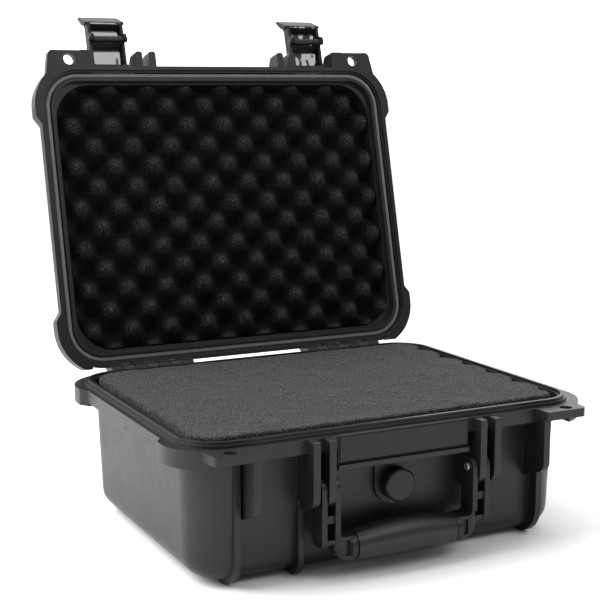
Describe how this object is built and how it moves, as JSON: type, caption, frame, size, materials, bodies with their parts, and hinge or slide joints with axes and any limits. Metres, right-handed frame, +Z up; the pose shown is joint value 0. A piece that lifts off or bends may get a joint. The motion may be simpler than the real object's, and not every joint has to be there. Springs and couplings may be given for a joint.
{
  "type": "hard equipment case",
  "caption": "Hard plastic equipment case with hinged lid, throw latches, folding handle, pressure valve, padlock tabs and foam lining.",
  "frame": {"origin": "on the floor, under the middle of the whole open case", "axes": "+Z up, +X to the case's right seen from its front, +Y towards the hinges; the front with the handle faces -Y"},
  "size_m": [0.3316, 0.3746, 0.3905],
  "materials": {
    "shell": "fine textured black moulded plastic",
    "latch": "smooth black moulded plastic",
    "trim": "satin black moulded plastic",
    "label": "blank matt black plate",
    "grip": "soft black rubber sleeve",
    "gasket": "dark grey sealing rubber",
    "lid_foam": "charcoal open-cell foam, egg-crate face",
    "base_foam": "dark grey open-cell foam",
    "pin": "plain steel"
  },
  "bodies": {
    "base": {"base_shell": "shell", "base_foam_top": "base_foam", "base_foam_middle": "base_foam", "base_foam_bottom": "base_foam", "label_plate": "label", "valve_nut": "trim", "hinge_pin_left": "pin", "hinge_pin_right": "pin"},
    "lid": {"lid_shell": "shell", "lid_gasket": "gasket", "lid_foam": "lid_foam", "latch_pin_left": "pin", "latch_pin_right": "pin"},
    "latch_left": {"latch_lever_left": "latch", "latch_hook_bar_left": "trim"},
    "latch_right": {"latch_lever_right": "latch", "latch_hook_bar_right": "trim"},
    "handle": {"handle_frame": "trim", "handle_grip": "grip", "handle_pin_left": "pin", "handle_pin_right": "pin"},
    "valve": {"valve_knob": "trim", "valve_o_ring": "gasket"}
  },
  "joints": [
    {"name": "lid_hinge", "type": "hinge", "parent": "base", "child": "lid", "pos_m": [0, 0.08056, 0.1022], "axis": [1, 0, 0], "range_deg": [0, 104]},
    {"name": "latch_left_pivot", "type": "hinge", "parent": "lid", "child": "latch_left", "pos_m": [-0.0942, 0.15445, 0.34648], "axis": [1, 0, 0], "range_deg": [-20, 92]},
    {"name": "latch_right_pivot", "type": "hinge", "parent": "lid", "child": "latch_right", "pos_m": [0.0942, 0.15445, 0.34648], "axis": [1, 0, 0], "range_deg": [-20, 92]},
    {"name": "handle_swing", "type": "hinge", "parent": "base", "child": "handle", "pos_m": [0, -0.17324, 0.0665], "axis": [-1, 0, 0], "range_deg": [-3, 110]},
    {"name": "valve_turn", "type": "hinge", "parent": "base", "child": "valve", "pos_m": [0, -0.17094, 0.059], "axis": [0, -1, 0], "range_deg": [0, 270]}
  ]
}
